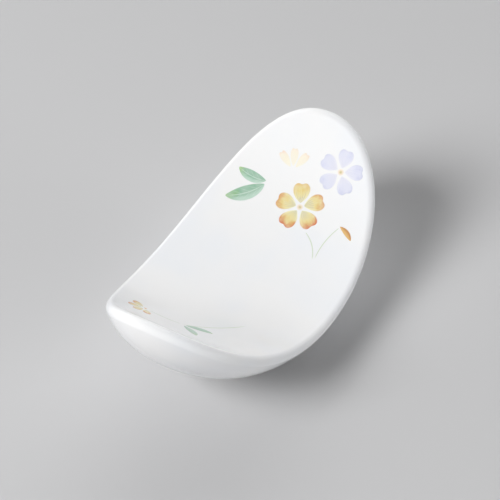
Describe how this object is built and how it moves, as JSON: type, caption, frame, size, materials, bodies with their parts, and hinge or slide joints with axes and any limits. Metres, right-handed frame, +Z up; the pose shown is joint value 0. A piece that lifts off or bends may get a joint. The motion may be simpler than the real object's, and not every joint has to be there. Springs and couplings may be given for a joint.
{
  "type": "chopstick rest",
  "caption": "Oval porcelain chopstick rest, curled up at both tips, with a low oval foot, a clear glaze and a printed blossom spray near each tip.",
  "frame": {"origin": "middle of the bounding box's bottom, on the plane that the foot's ring stands on", "axes": "+X along the length towards the tip with the large spray, +Y across to the side that the large leaves point to, +Z up"},
  "size_m": [0.052, 0.03, 0.0222],
  "materials": {
    "porcelain": "bare fired porcelain, fine matt",
    "glaze": "clear gloss glaze over white porcelain",
    "amber_enamel": "glossy printed enamel",
    "orange_enamel": "glossy printed enamel",
    "brown_enamel": "glossy printed enamel",
    "lilac_enamel": "glossy printed enamel",
    "violet_enamel": "glossy printed enamel",
    "peach_enamel": "glossy printed enamel",
    "cream_enamel": "glossy printed enamel",
    "green_enamel": "glossy printed enamel",
    "pale_green_enamel": "glossy printed enamel"
  },
  "bodies": {
    "root": {"porcelain_body": "porcelain", "glaze_coat": "glaze", "foot_recess_glaze": "glaze", "amber_blossom_petals": "amber_enamel", "amber_petal_edges": "orange_enamel", "amber_petal_strokes": "brown_enamel", "lilac_blossom_petals": "lilac_enamel", "lilac_petal_strokes": "violet_enamel", "peach_bud_petals": "peach_enamel", "blossom_eyes": "cream_enamel", "large_leaves": "green_enamel", "large_leaf_veins": "pale_green_enamel", "orange_bud": "orange_enamel", "large_spray_stems": "pale_green_enamel", "small_blossom_petals": "amber_enamel", "small_blossom_eye": "orange_enamel", "small_leaves": "green_enamel", "small_leaf_veins": "pale_green_enamel", "small_spray_stems": "pale_green_enamel"}
  },
  "joints": []
}
